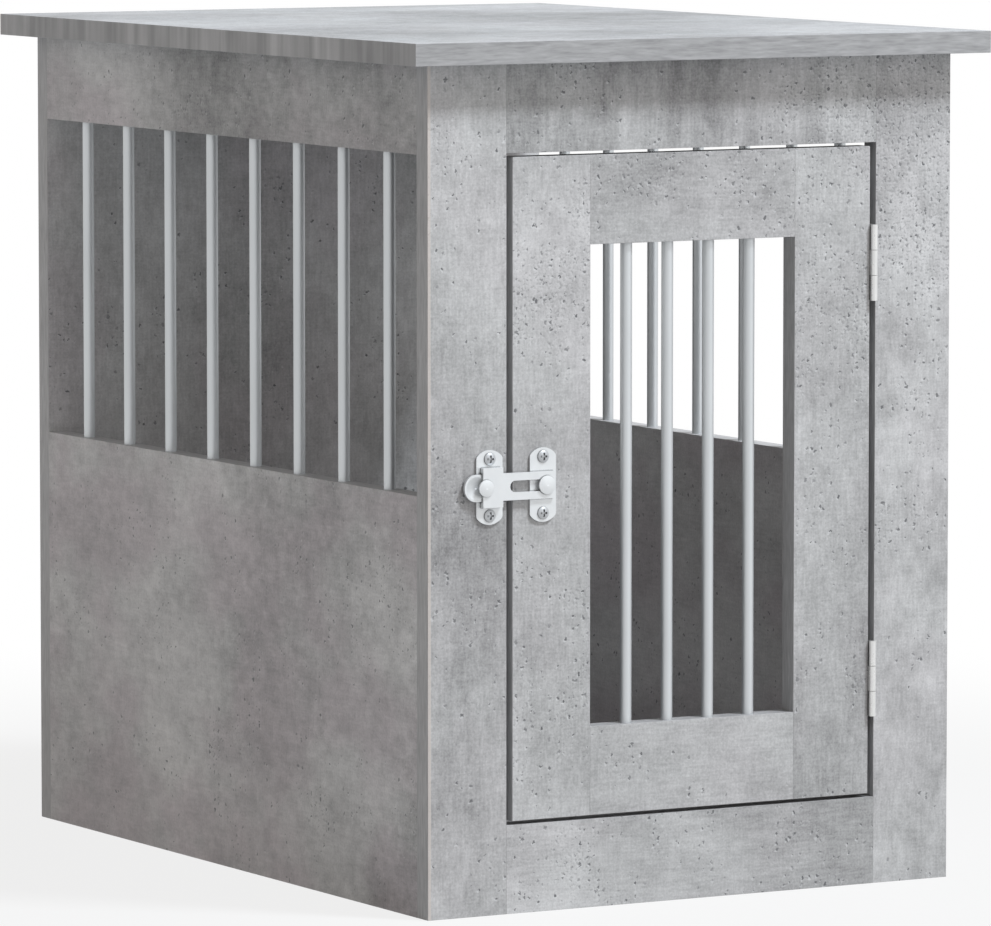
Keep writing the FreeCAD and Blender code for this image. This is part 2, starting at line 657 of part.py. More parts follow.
# A notch in its edge takes the knob's neck when the latch is shut.
bridge_edge = -s.latch_bridge_width / 2
notch_end = bridge_edge + s.latch_knob_inset
notch_half = s.latch_knob_neck / 2 + s.latch_knob_gap
notch = new_sketch(bridge, "XZ")
draw_outline(notch, rectangle(bridge_edge - notch_half, -notch_half, notch_end, notch_half))
sweep_sketch(bridge, "Pocket", notch, 3 * bridge_depth, side="Symmetric")
notch_round = new_sketch(bridge, "XZ")
draw_circle(notch_round, (notch_end, 0), 2 * notch_half)
sweep_sketch(bridge, "Pocket", notch_round, 3 * bridge_depth, side="Symmetric")
node(bridge, "latch_bridge")

# Sliding bar, drawn about the door plate's middle: round dished tail, slot open at the fork's end.
latch_bar = new_body("latch_bar", (latch_door_x, bar_middle, s.latch_height))
tail_x = latch_frame_x - s.latch_tail_reach + s.latch_bar_height / 2 - latch_door_x
slot_x = s.latch_slot_width / 2 - s.latch_slot_length
half_bar, half_slot = s.latch_bar_height / 2, s.latch_slot_width / 2
blade = new_sketch(latch_bar, "XZ")
draw_outline(blade, rectangle(tail_x, -half_bar, s.latch_fork_reach, half_bar))
sweep_sketch(latch_bar, "Pad", blade, s.latch_bar_thickness, side="Symmetric")
tail = new_sketch(latch_bar, "XZ")
draw_circle(tail, (tail_x, 0), s.latch_bar_height)
sweep_sketch(latch_bar, "Pad", tail, s.latch_bar_thickness, side="Symmetric")
slot = new_sketch(latch_bar, "XZ")
draw_outline(slot, rectangle(slot_x, -half_slot, s.latch_fork_reach + s.latch_slot_width, half_slot))
sweep_sketch(latch_bar, "Pocket", slot, 2 * s.latch_bar_thickness, side="Symmetric")
slot_end = new_sketch(latch_bar, "XZ")
draw_circle(slot_end, (slot_x, 0), s.latch_slot_width)
sweep_sketch(latch_bar, "Pocket", slot_end, 2 * s.latch_bar_thickness, side="Symmetric")
dish = new_sketch(latch_bar, "XY", (tail_x, 0, 0))
dish_half = half_bar - s.latch_rim_width
bar_skin = s.latch_bar_thickness / 2
draw_outline(dish, [(0, -bar_skin), (dish_half, -bar_skin), (0, s.latch_dish_depth - bar_skin)],
             arcs={1: dome_radius(dish_half, s.latch_dish_depth)})
revolve_sketch(latch_bar, "Groove", dish)
node(latch_bar, "latch_bar")
bar_block = SimpleNamespace(body=latch_bar, half=(half_bar, s.latch_bar_thickness / 2, half_bar),
                            centre=(latch_door_x, bar_middle, s.latch_height))

# The knob is riveted through the bar. Its neck lies in the bridge's notch when the latch is
# shut, and its head runs clear in front of the bridge.
FORWARD = turn((0, -1, 0))
knob_x = bridge_x + notch_end
knob_at = (knob_x, bar_front, s.latch_height)
knob_rise = s.latch_bridge_strap + 2 * s.latch_running_gap
knob_rim = knob_rise + s.latch_head_rim
knob = turned("latch_knob", [
    (0, -s.latch_bar_thickness), (s.latch_knob_neck / 2, -s.latch_bar_thickness),
    (s.latch_knob_neck / 2, knob_rise), (s.latch_knob_diameter / 2, knob_rise),
    (s.latch_knob_diameter / 2, knob_rim), (0, knob_rim + s.latch_head_dome)],
    knob_at, FORWARD, arcs={4: dome_radius(s.latch_knob_diameter / 2, s.latch_head_dome)})
node(knob, "latch_knob")
drill(bar_block, "-y", knob_at, s.latch_knob_neck + 2 * s.fit_clearance, s.latch_bar_thickness)

# The stud is riveted through the door plate, and the fork runs under its head.
stud_at = (latch_door_x + s.latch_stud_offset, plate_front, s.latch_height)
stud_rim = bridge_room + s.latch_head_rim
stud = turned("latch_stud", [
    (0, -s.latch_plate_thickness), (s.latch_rivet_diameter / 2, -s.latch_plate_thickness),
    (s.latch_rivet_diameter / 2, 0), (s.latch_stud_neck / 2, 0), (s.latch_stud_neck / 2, bridge_room),
    (s.latch_stud_diameter / 2, bridge_room), (s.latch_stud_diameter / 2, stud_rim),
    (0, stud_rim + s.latch_head_dome)],
    stud_at, FORWARD, arcs={6: dome_radius(s.latch_stud_diameter / 2, s.latch_head_dome)})
node(stud, "latch_stud")
drill(door_plate, "-y", stud_at, s.latch_rivet_diameter + 2 * s.fit_clearance, s.latch_plate_thickness)

# Pan head screw with a cross recess: its own +Z is the way it is driven, from the plate's face.
screw_half = s.latch_screw_head / 2
latch_screw = turned("LatchScrew", [
    (0, -s.latch_screw_head_height), (screw_half, -s.latch_screw_rim), (screw_half, 0),
    (s.latch_screw_diameter / 2, 0),
    (s.latch_screw_diameter / 2, s.latch_screw_length - s.latch_screw_diameter), (0, s.latch_screw_length)],
    arcs={0: dome_radius(screw_half, s.latch_screw_head_height - s.latch_screw_rim)})
recess = new_sketch(latch_screw, "XY", (0, 0, -s.latch_screw_head_height))
draw_outline(recess, cross(s.latch_recess_width, s.latch_recess_length))
sweep_sketch(latch_screw, "Pocket", recess, s.latch_recess_depth, reverse=True)

for label, plate, upright in (("latch_frame_screws", frame_plate, stiles["left"]),
                              ("latch_door_screws", door_plate, door_stiles["latch"])):
    copies = []
    for step in (-1, 1):
        at = (plate.centre[0], plate_front, s.latch_height + step * s.latch_screw_spacing / 2)
        copies.append(copy_of(latch_screw, at, turn((0, 1, 0))))
        hole = s.latch_screw_diameter + 2 * s.fit_clearance
        drill(plate, "-y", at, hole, s.latch_plate_thickness)
        drill(upright, "-y", at, hole, s.latch_screw_length - s.latch_plate_thickness + s.hole_relief)
    group(label, copies)

cut_holes()
doc.recompute()

# Every feature must have worked, and every sub-part be one or more valid solids.
for feature in doc.Objects:
    if {"Invalid", "Error"} & set(feature.State):
        raise RuntimeError(f"{feature.Label}: {feature.State}")
for shape in nodes:
    if shape.Shape.isNull() or not shape.Shape.isValid() or not shape.Shape.Solids:
        raise RuntimeError(f"{shape.Label}: no valid solid")

os.makedirs("parts", exist_ok=True)
for shape in nodes:
    shape.Shape.exportStep(os.path.join("parts", shape.Label + ".step"))
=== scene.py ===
import math

import bpy
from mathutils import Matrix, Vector

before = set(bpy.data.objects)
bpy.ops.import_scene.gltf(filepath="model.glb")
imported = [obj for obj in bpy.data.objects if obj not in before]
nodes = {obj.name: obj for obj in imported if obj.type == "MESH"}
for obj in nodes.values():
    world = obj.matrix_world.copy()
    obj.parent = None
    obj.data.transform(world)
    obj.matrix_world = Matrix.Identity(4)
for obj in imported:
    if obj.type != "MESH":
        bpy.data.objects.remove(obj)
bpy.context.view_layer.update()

# Pet crate in the form of a side table: concrete-look boards, silver bars, a barred door on
# two butt hinges and a sliding fork latch. Places are in metres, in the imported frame. Sizes of
# a print, a patch or the texture of a surface are in millimetres.
MM = 0.001
AXES = "xyz"

# A noise runs from 0 to 1, and nearly all of it lies between these two values.
NOISE_LOW = 0.3
NOISE_HIGH = 0.7


def linear(hex_colour):
    """A colour written as sRGB hex, as linear RGBA."""
    channels = [int(hex_colour[i:i + 2], 16) / 255 for i in (1, 3, 5)]
    return [c / 12.92 if c <= 0.04045 else ((c + 0.055) / 1.055) ** 2.4 for c in channels] + [1.0]


def per_mm(size):
    """Texture scale that gives features of a size in millimetres."""
    return 1 / (size * MM)


def by_axis(axis, own, others):
    """Three numbers for x, y and z: one for an axis, and another for both others."""
    return [own if a == axis else others for a in AXES]


def add(tree, kind, inputs, **settings):
    """Add a shader node; each input is a value, or the output that feeds it."""
    made = tree.nodes.new("ShaderNode" + kind)
    for name, value in settings.items():
        setattr(made, name, value)
    for name, value in inputs.items():
        if isinstance(value, bpy.types.NodeSocket):
            tree.links.new(value, made.inputs[name])
        else:
            made.inputs[name].default_value = value
    return made


def new_material(name, **sockets):
    """A material with its shader; sockets are values that are the same all over the surface."""
    material = bpy.data.materials.new(name)
    material.use_nodes = True
    shader = material.node_tree.nodes["Principled BSDF"]
    for socket, value in sockets.items():
        shader.inputs[socket].default_value = value
    return material, material.node_tree, shader


def wear(node, material):
    """Give a CAD node its finish."""
    mesh = nodes[node].data
    mesh.materials.clear()
    mesh.materials.append(material)


# Melamine-faced chipboard with a printed concrete decor, pressed smooth: light grey clouds,
# hair-fine trowel lines, and clusters of dark pits with a pale lip, all of it ink under a
# satin film. The boards are cut from different places of the sheet, so no two match.
FILM_IOR = 1.48
GREY_INKS = ("#989898", "#D7D7D7")
STAIN_INK = "#EDE5E9"
PIT_INK = "#616264"
LIP_INK = "#E2E3E4"
BAND_INKS = ("#8F8F90", "#C8C8C9")
# A painted highlight: a pale beige line along an eased outer edge, where that edge catches light.
EDGE_HIGHLIGHT_INK = "#D2C9C2"
EDGE_HIGHLIGHT_STRENGTH = 0.7

# How far the print is drawn out, as a scale: hair lines and clouds along the grain, smears down
# the board, and streaks across the edge band.
HAIR_SCALE = 0.12
CLOUD_SCALE = 0.7
SMEAR_SCALE = 0.16
STREAK_SCALE = 0.06

# Each shade of the print: how it is drawn out, its size in mm, its detail, and its weight. The
# print's own grain is about 0.3 mm, drawn at 1.5 to 1.8 mm so that it shows at this distance.
SHADES = (
    ("clouds", "clouds", 150, 5.0, 1.5),
    ("mottle", "clouds", 28, 5.0, 0.7),
    ("trowel", "clouds", 8, 3.0, 0.55),
    ("smear", "smears", 16, 3.0, 1.0),
    ("speckle", "plain", 1.5, 2.0, 0.8),
    ("lines", "lines", 1.8, 2.0, 0.55),
    ("weft", "weft", 1.6, 2.0, 0.35),
)
SHADE_ROUGHNESS = 0.56
SHADE_BEND = 0.25
STAIN_SIZE = 85
STAIN_LAYER = 4.0
STAIN_EDGE = (0.42, 0.6)
STREAK_SIZE = 18
BAND_CONTRAST = 1.1
BAND_DARKER = 0.6

# Share of a patch's half length, from its middle, that has the patch at full strength.
PATCH_CORE = 0.4

# Pits lie in clusters a few centimetres wide. The offset takes away the middle of the clusters'
# noise, so that a board's own number says how many pits it has.
CLUSTER_SIZE = 34
CLUSTER_LAYER = 9.0
CLUSTER_GAIN = 3.0
CLUSTER_OFFSET = -1.55

# Flecks are the peaks of a noise, and more of it counts as a peak where the pits crowd.
FLECK_SIZE = 2.2
FLECK_BEND = 0.3
FLECK_PEAK = 0.74
FLECK_CROWDING = -0.19
FLECK_SLOPE = 0.07
FLECK_DEPTH = 0.3

# Holes are ragged cells of two sizes: their spacing in mm, their widest radius as a share of the
# spacing, and the largest share of cells that are holes.
HOLES = ((3.6, 0.34, 0.22), (6.5, 0.25, 0.45))
HOLE_CORE = 0.45
SHALLOWEST = 0.4
RAGGED_SIZE = 2.4
RAGGED_REACH = 4.5
LIP_OFFSET = (0.7 * MM, 1.1 * MM, 0)
LIP_STRENGTH = 0.5

# The film is a little shinier or duller from place to place, and follows the grain and the pits.
SHINIER = -0.08
DULLER = 0.1
PIT_RELIEF = -0.6
FILM_RELIEF = 0.2
FILM_BUMP = 0.12


def board_patches(tree, split, patches, shade, crowd):
    """Add a board's patches to its shade, and to how thickly its pits lie; each makes a stretch of the board
    darker or lighter.
    """
    for axis, start, end, more, lighter in patches:
        middle = (start + end) / 2 * MM
        half = abs(end - start) / 2 * MM
        off = add(tree, "Math", {0: split.outputs[AXES.index(axis)], 1: -middle},
                  operation="ADD").outputs[0]
        away = add(tree, "Math", {0: off}, operation="ABSOLUTE").outputs[0]
        inside = add(tree, "MapRange", {"Value": away, "From Min": half, "From Max": half * PATCH_CORE},
                     interpolation_type="SMOOTHSTEP").outputs[0]
        shade = add(tree, "Math", {0: inside, 1: lighter, 2: shade}, operation="MULTIPLY_ADD").outputs[0]
        crowd = add(tree, "Math", {0: inside, 1: more, 2: crowd}, operation="MULTIPLY_ADD").outputs[0]
    return shade, crowd


def printed_holes(tree, at, crowd, marks):
    """Add the ragged holes of both sizes to the marks of a face."""
    for spacing, widest, most in HOLES:
        cells = add(tree, "TexVoronoi", {"Vector": at, "Scale": per_mm(spacing)}, voronoi_dimensions="2D")
        chance = add(tree, "SeparateColor", {0: cells.outputs["Color"]})
        likely = add(tree, "Math", {0: crowd, 1: most}, operation="MULTIPLY").outputs[0]
        there = add(tree, "Math", {0: likely, 1: chance.outputs[0]}, operation="GREATER_THAN").outputs[0]
        radius = add(tree, "Math", {0: chance.outputs[1], 1: widest / 2, 2: widest / 2},
                     operation="MULTIPLY_ADD").outputs[0]
        core = add(tree, "Math", {0: radius, 1: HOLE_CORE}, operation="MULTIPLY").outputs[0]
        depth = add(tree, "Math", {0: chance.outputs[2], 1: 1 - SHALLOWEST, 2: SHALLOWEST},
                    operation="MULTIPLY_ADD").outputs[0]
        hole = add(tree, "MapRange", {"Value": cells.outputs["Distance"], "From Min": radius,
                                      "From Max": core, "To Max": depth},
                   interpolation_type="SMOOTHSTEP").outputs[0]
        hole = add(tree, "Math", {0: hole, 1: there}, operation="MULTIPLY").outputs[0]
        marks = add(tree, "Math", {0: marks, 1: hole}, operation="MAXIMUM").outputs[0]
    return marks


def printed_pits(tree, print_at, thickness, crowd):
    """The pits of a face and their lips, each from 0 to 1. Flecks and holes are drawn twice in the
    plane of the face: as dark pits, and moved a little as the pale lips beside them."""
    cluster = add(tree, "TexNoise", {"Vector": print_at, "Scale": per_mm(CLUSTER_SIZE), "Detail": 2.0,
                                     "W": CLUSTER_LAYER}, noise_dimensions="4D").outputs["Fac"]
    crowd = add(tree, "Math", {0: cluster, 1: CLUSTER_GAIN, 2: crowd}, operation="MULTIPLY_ADD").outputs[0]
    crowd = add(tree, "Clamp", {0: crowd}).outputs[0]
    spread = add(tree, "SeparateXYZ", {0: print_at})
    plane = [spread.outputs[AXES.index(axis)] for axis in AXES if axis != thickness]
    face_at = add(tree, "CombineXYZ", {0: plane[0], 1: plane[1]}).outputs[0]
    ragged = add(tree, "TexNoise", {"Vector": face_at, "Scale": per_mm(RAGGED_SIZE), "Detail": 2.0})
    bent = add(tree, "VectorMath", {0: ragged.outputs["Color"], 1: (RAGGED_REACH * MM,) * 3, 2: face_at},
               operation="MULTIPLY_ADD").outputs[0]
    peak = add(tree, "Math", {0: crowd, 1: FLECK_CROWDING, 2: FLECK_PEAK},
               operation="MULTIPLY_ADD").outputs[0]
    summit = add(tree, "Math", {0: peak, 1: FLECK_SLOPE}, operation="ADD").outputs[0]
    drawn = []
    for moved in ((0, 0, 0), LIP_OFFSET):
        fleck_at = add(tree, "VectorMath", {0: face_at, 1: moved}, operation="ADD").outputs[0]
        bite = add(tree, "TexNoise", {"Vector": fleck_at, "Scale": per_mm(FLECK_SIZE), "Detail": 2.0,
                                      "Distortion": FLECK_BEND}).outputs["Fac"]
        flecks = add(tree, "MapRange", {"Value": bite, "From Min": peak, "From Max": summit,
                                        "To Max": FLECK_DEPTH}).outputs[0]
        hole_at = add(tree, "VectorMath", {0: bent, 1: moved}, operation="ADD").outputs[0]
        drawn.append(printed_holes(tree, hole_at, crowd, flecks))
    pit, lip = drawn
    lip = add(tree, "Math", {0: lip, 1: pit}, operation="SUBTRACT", use_clamp=True).outputs[0]
    lip = add(tree, "Math", {0: lip, 1: LIP_STRENGTH}, operation="MULTIPLY").outputs[0]
    return pit, lip


def facing(tree, normal, axis):
    """1 on the faces that look along an axis, either way, and 0 on the others."""
    turned = add(tree, "VectorMath", {0: normal, 1: by_axis(axis, 1.0, 0.0)}, operation="DOT_PRODUCT")
    size = add(tree, "Math", {0: turned.outputs["Value"]}, operation="ABSOLUTE").outputs[0]
    return add(tree, "MapRange", {"Value": size, "From Min": 0.55, "From Max": 0.75}).outputs[0]


def edge_band(tree, print_at, thickness, ends, lines, tone):
    """Colour of the band on the edges, from a roll of the same print: bold streaks across it where
    it closes the ends of the grain, and lines along it on the long edges."""
    band_at = add(tree, "Mapping", {"Vector": print_at, "Scale": by_axis(thickness, STREAK_SCALE, 1.0)})
    streaks = add(tree, "TexNoise", {"Vector": band_at.outputs[0], "Scale": per_mm(STREAK_SIZE),
                                     "Detail": 4.0, "Roughness": 0.55}).outputs["Fac"]
    bold = add(tree, "MapRange", {"Value": streaks, "From Min": NOISE_LOW,
                                  "From Max": NOISE_HIGH}).outputs[0]
    band = add(tree, "Mix", {0: ends, 2: lines, 3: bold}).outputs[0]
    band = add(tree, "Math", {0: band, 1: BAND_CONTRAST, 2: tone - BAND_DARKER},
               operation="MULTIPLY_ADD").outputs[0]
    return add(tree, "Mix", {0: band, 6: linear(BAND_INKS[0]), 7: linear(BAND_INKS[1])},
               data_type="RGBA").outputs[2]


def concrete_decor(name, thickness, grain, cut, tone=0.5, contrast=1.0, worked=1.0, warm=0.2, pits=0.2,
                   patches=(), smears=0.0, strip=None, rough=0.46, inks=GREY_INKS):
    """Finish of one board, from the axes of its thickness and its grain. cut is where its print
    starts, in metres. tone is its shade from dark to light, contrast is for its clouds, worked for
    its trowel marks, warm for its stains, pits for how many it has, and smears for dark runs down
    the print. patches are (axis, from, to, more pits, lighter), and strip is (axis, from, to) of a
    painted highlight line beside the edge band, where the eased edge catches light, in mm. rough is
    the roughness of the film, inks its two greys."""
    material, tree, shader = new_material("printed_concrete_melamine_" + name, IOR=FILM_IOR)
    place = add(tree, "TexCoord", {})
    at = place.outputs["Object"]
    split = add(tree, "SeparateXYZ", {0: at})
    print_at = add(tree, "Mapping", {"Vector": at, "Location": cut}).outputs[0]
    shade, crowd = board_patches(tree, split, patches, tone, pits + CLUSTER_OFFSET)

    # Clouds, mottle and smears, and hair lines along and across.
    scales = {"clouds": by_axis(grain, CLOUD_SCALE, 1.0), "smears": by_axis("z", SMEAR_SCALE, 1.0),
              "lines": by_axis(grain, HAIR_SCALE, 1.0), "weft": by_axis(grain, 1.0, HAIR_SCALE)}
    drawn_out = {"plain": print_at}
    for use, scale in scales.items():
        drawn_out[use] = add(tree, "Mapping", {"Vector": print_at, "Scale": scale}).outputs[0]
    strength = {"clouds": contrast, "mottle": contrast * worked, "trowel": contrast * worked,
                "smear": smears}
    greys = {}
    for use, way, size, detail, weight in SHADES:
        weight *= strength.get(use, 1.0)
        if weight:
            greys[use] = add(tree, "TexNoise", {"Vector": drawn_out[way], "Scale": per_mm(size),
                                                "Detail": detail, "Roughness": SHADE_ROUGHNESS,
                                                "Distortion": SHADE_BEND}).outputs["Fac"]
            centred = add(tree, "Math", {0: greys[use], 1: -0.5}, operation="ADD").outputs[0]
            shade = add(tree, "Math", {0: centred, 1: weight, 2: shade},
                        operation="MULTIPLY_ADD").outputs[0]
    colour = add(tree, "Mix", {0: shade, 6: linear(inks[0]), 7: linear(inks[1])},
                 data_type="RGBA", clamp_factor=False).outputs[2]

    # Warm, slightly violet stains and neutral ones side by side.
    stain = add(tree, "TexNoise", {"Vector": drawn_out["clouds"], "Scale": per_mm(STAIN_SIZE),
                                   "Detail": 3.0, "W": STAIN_LAYER}, noise_dimensions="4D").outputs["Fac"]
    stained = add(tree, "MapRange", {"Value": stain, "From Min": STAIN_EDGE[0], "From Max": STAIN_EDGE[1],
                                     "To Max": warm}, interpolation_type="SMOOTHSTEP").outputs[0]
    tinted = add(tree, "Mix", {0: 1.0, 6: colour, 7: linear(STAIN_INK)},
                 data_type="RGBA", blend_type="MULTIPLY").outputs[2]
    colour = add(tree, "Mix", {0: stained, 6: colour, 7: tinted}, data_type="RGBA").outputs[2]

    pit, lip = printed_pits(tree, print_at, thickness, crowd)
    colour = add(tree, "Mix", {0: lip, 6: colour, 7: linear(LIP_INK)}, data_type="RGBA").outputs[2]
    colour = add(tree, "Mix", {0: pit, 6: colour, 7: linear(PIT_INK)}, data_type="RGBA").outputs[2]
    # Painted highlight: a pale line beside the edge band, where the eased edge catches light.
    if strip:
        axis, start, end = strip
        middle = (start + end) / 2 * MM
        half = abs(end - start) / 2 * MM
        highlight_line = add(tree, "Math", {0: split.outputs[AXES.index(axis)], 1: middle, 2: half},
                   operation="COMPARE").outputs[0]
        highlight_line = add(tree, "Math", {0: highlight_line, 1: EDGE_HIGHLIGHT_STRENGTH}, operation="MULTIPLY").outputs[0]
        colour = add(tree, "Mix", {0: highlight_line, 6: colour, 7: linear(EDGE_HIGHLIGHT_INK)}, data_type="RGBA").outputs[2]
    flat = facing(tree, place.outputs["Normal"], thickness)
    ends = facing(tree, place.outputs["Normal"], grain)
    edge = edge_band(tree, print_at, thickness, ends, greys["lines"], tone)
    final = add(tree, "Mix", {0: flat, 6: edge, 7: colour}, data_type="RGBA").outputs[2]
    tree.links.new(final, shader.inputs["Base Color"])

    sheen = add(tree, "MapRange", {"Value": greys["mottle"], "From Min": NOISE_LOW, "From Max": NOISE_HIGH,
                                   "To Min": rough + SHINIER, "To Max": rough + DULLER}).outputs[0]
    tree.links.new(sheen, shader.inputs["Roughness"])
    relief = add(tree, "Math", {0: pit, 1: PIT_RELIEF, 2: greys["speckle"]},
                 operation="MULTIPLY_ADD").outputs[0]
    bump = add(tree, "Bump", {"Height": relief, "Strength": FILM_BUMP, "Distance": FILM_RELIEF * MM})
    tree.links.new(bump.outputs[0], shader.inputs["Normal"])
    return material


BOARDS = {
    # The tabletop's wide, bluish inks are its print and also painted reflection: they stand in for the
    # bluish streaks that the top reflects at a grazing angle.
    "tabletop": dict(
        thickness="z", grain="x", cut=(0.31, 0.12, 0.05), tone=0.34, contrast=1.1, pits=0.05, rough=0.4,
        inks=("#74787C", "#D6DADE")),
    "back_panel": dict(
        thickness="y", grain="z", cut=(1.13, 0.44, 0.27), tone=0.7, contrast=1.3, warm=0.5, pits=0.15),
    "floor_panel": dict(
        thickness="z", grain="y", cut=(2.07, 1.31, 0.62)),
    "front_left_stile": dict(
        thickness="y", grain="z", cut=(0.71, 2.23, 0.38), tone=0.53, contrast=0.9, worked=1.25, pits=0.12,
        patches=[("z", 440, 600, 0.25, 0), ("z", 215, 330, 0.35, -0.14), ("z", 90, 330, 0.1, -0.08)],
        strip=("x", -205, -202.7)),
    # The right stile's second patch is painted shade: it darkens the top of the stile at the soft edge of
    # the tabletop's shadow, with a few more pits there.
    "front_right_stile": dict(
        thickness="y", grain="z", cut=(1.57, 0.83, 1.19), tone=0.39, worked=1.5, pits=0.25,
        patches=[("z", 360, 680, 1.2, 0.03), ("z", 480, 640, 0.2, -0.25), ("z", -80, 260, -0.25, 0.03)]),
    "front_header_rail": dict(
        thickness="y", grain="z", cut=(2.61, 0.57, 0.91), tone=0.34, pits=0.35, smears=1.0,
        patches=[("x", 0, 260, 0.5, 0.15), ("x", -230, 80, 0, -0.26)]),
    "front_sill_rail": dict(
        thickness="y", grain="x", cut=(0.23, 1.67, 1.43), tone=0.25, pits=0.35,
        patches=[("x", -260, -40, 0.1, 0.36)]),
    "left_top_rail": dict(
        thickness="x", grain="y", cut=(1.87, 0.29, 2.11), tone=0.66, contrast=1.4, worked=1.4, warm=0.8,
        pits=0.15, smears=0.5, patches=[("y", -420, 160, 0.1, -0.42)]),
    "right_top_rail": dict(
        thickness="x", grain="y", cut=(2.93, 1.09, 0.17), tone=0.62, warm=0.7),
    "left_lower_panel": dict(
        thickness="x", grain="y", cut=(0.53, 2.77, 1.61), tone=0.76, contrast=1.4, worked=1.45, warm=0.8,
        pits=0.1, patches=[("y", -420, 60, 0.1, -0.12)]),
    "right_lower_panel": dict(
        thickness="x", grain="y", cut=(1.41, 1.93, 2.39), tone=0.8, warm=0.7, pits=0.15),
    "door_latch_stile": dict(
        thickness="y", grain="z", cut=(2.19, 0.67, 2.83), tone=0.6,
        patches=[("z", 330, 510, 0.6, 0.15), ("z", 430, 580, 0, -0.25), ("z", 70, 270, 0.4, -0.04)]),
    "door_hinge_stile": dict(
        thickness="y", grain="z", cut=(0.89, 1.23, 0.49), tone=0.45, pits=0.25,
        patches=[("z", 300, 600, 0.6, 0.04), ("z", -30, 190, 0, -0.25)]),
    "door_top_rail": dict(
        thickness="y", grain="x", cut=(1.73, 2.41, 1.07), tone=0.33, pits=0.45,
        patches=[("x", -20, 140, 0, 0.17)]),
    "door_bottom_rail": dict(
        thickness="y", grain="x", cut=(2.47, 0.19, 1.79), tone=0.32, contrast=0.8, pits=0.1),
}
for board, look in BOARDS.items():
    wear(board, concrete_decor(board, **look))

# Powder-coated steel rod: a satin silver-grey skin with a faint orange peel.
PEEL_SIZE = 1.4
PEEL_RELIEF = 0.1
PEEL_BUMP = 0.06
BATCH_SIZE = 60


def powder_coated_steel():
    """Finish of the bars, with a slight drift of the grey along them."""
    material, tree, shader = new_material("powder_coated_steel_rod", Roughness=0.54, Metallic=0.95)
    at = add(tree, "TexCoord", {}).outputs["Object"]
    peel = add(tree, "TexNoise", {"Vector": at, "Scale": per_mm(PEEL_SIZE), "Detail": 2.0}).outputs["Fac"]
    batch = add(tree, "TexNoise", {"Vector": at, "Scale": per_mm(BATCH_SIZE), "Detail": 1.0}).outputs["Fac"]
    colour = add(tree, "Mix", {0: batch, 6: linear("#C5C8CA"), 7: linear("#CFD2D4")},
                 data_type="RGBA").outputs[2]
    tree.links.new(colour, shader.inputs["Base Color"])
    bump = add(tree, "Bump", {"Height": peel, "Strength": PEEL_BUMP, "Distance": PEEL_RELIEF * MM})
    tree.links.new(bump.outputs[0], shader.inputs["Normal"])
    return material


# Plated metals: bright where the stage is mirrored, dulled by fine scratches and handling, with
# painted shade darkening their corners and recesses.
HAZE_SIZE = 9
CREVICE_SHADE_INK = "#4A4B4C"
CREVICE_SHADE_REACH = 1.6
CREVICE_SHADE_EDGE = (0.35, 0.85)
SCRATCH_RELIEF = 0.05
SCRATCH_BUMP = 0.01
SCRATCH_DULLING = 0.06


def plated_metal(name, greys, rough, scratch, stretch=(1, 1, 1), metallic=1.0):
    """A plated or cast metal; scratch is the size of its scratches in mm, before stretch draws them
    out."""
    material, tree, shader = new_material(name, Metallic=metallic)
    at = add(tree, "TexCoord", {}).outputs["Object"]
    drawn = add(tree, "Mapping", {"Vector": at, "Scale": stretch}).outputs[0]
    lines = add(tree, "TexNoise", {"Vector": drawn, "Scale": per_mm(scratch), "Detail": 3.0}).outputs["Fac"]
    haze = add(tree, "TexNoise", {"Vector": at, "Scale": per_mm(HAZE_SIZE), "Detail": 3.0}).outputs["Fac"]
    colour = add(tree, "Mix", {0: haze, 6: linear(greys[0]), 7: linear(greys[1])},
                 data_type="RGBA").outputs[2]
    # Painted shade: ambient occlusion darkens the colour in corners, recesses and gaps between parts.
    open_air = add(tree, "AmbientOcclusion", {"Distance": CREVICE_SHADE_REACH * MM}, samples=8).outputs["AO"]
    unshaded = add(tree, "MapRange", {"Value": open_air, "From Min": CREVICE_SHADE_EDGE[0],
                                   "From Max": CREVICE_SHADE_EDGE[1]}).outputs[0]
    colour = add(tree, "Mix", {0: unshaded, 6: linear(CREVICE_SHADE_INK), 7: colour}, data_type="RGBA").outputs[2]
    tree.links.new(colour, shader.inputs["Base Color"])
    dull = add(tree, "MapRange", {"Value": lines, "From Min": NOISE_LOW, "From Max": NOISE_HIGH,
                                  "To Min": rough - SCRATCH_DULLING,
                                  "To Max": rough + SCRATCH_DULLING}).outputs[0]
    tree.links.new(dull, shader.inputs["Roughness"])
    bump = add(tree, "Bump", {"Height": lines, "Strength": SCRATCH_BUMP, "Distance": SCRATCH_RELIEF * MM})
    tree.links.new(bump.outputs[0], shader.inputs["Normal"])
    return material


# Turned beech: pale pink-brown with fine flecks.
BEECH_FLECK = 1.2


def beech():
    """Finish of the dowels."""
    material, tree, shader = new_material("turned_beech", Roughness=0.6, IOR=1.5)
    at = add(tree, "TexCoord", {}).outputs["Object"]
    fleck = add(tree, "TexNoise", {"Vector": at, "Scale": per_mm(BEECH_FLECK), "Detail": 4.0}).outputs["Fac"]
    colour = add(tree, "Mix", {0: fleck, 6: linear("#B98F66"), 7: linear("#DDBB93")},
                 data_type="RGBA").outputs[2]
    tree.links.new(colour, shader.inputs["Base Color"])
    return material


rod = powder_coated_steel()
for node in nodes:
    if "_bar_" in node:
        wear(node, rod)

